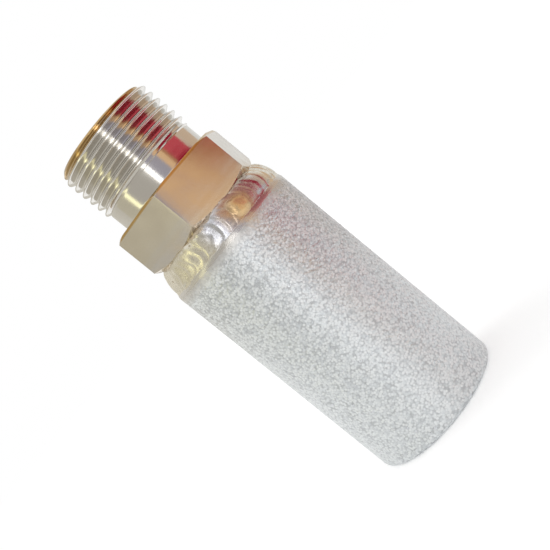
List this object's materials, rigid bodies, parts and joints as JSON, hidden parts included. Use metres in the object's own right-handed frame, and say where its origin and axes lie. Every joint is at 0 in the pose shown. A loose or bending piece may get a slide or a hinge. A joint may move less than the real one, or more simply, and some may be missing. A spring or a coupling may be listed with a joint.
{
  "type": "sintered metal filter",
  "caption": "Porous sintered metal cup filter welded to a hex fitting with a male metric thread and a through bore.",
  "frame": {"origin": "centre of the flat closed end, on the surface that the filter stands on", "axes": "+Z along the axis from the closed end to the thread, with corners of the hex along +Y and -Y"},
  "size_m": [0.0258, 0.0258, 0.0707],
  "materials": {
    "turned_steel": "turned and milled stainless steel, bright",
    "weld_metal": "fused weld metal with straw heat tint",
    "sintered_steel": "sintered powder, fine grained and matt"
  },
  "bodies": {
    "root": {"hex_fitting": "turned_steel", "weld_bead": "weld_metal", "porous_cup": "sintered_steel"}
  },
  "joints": []
}
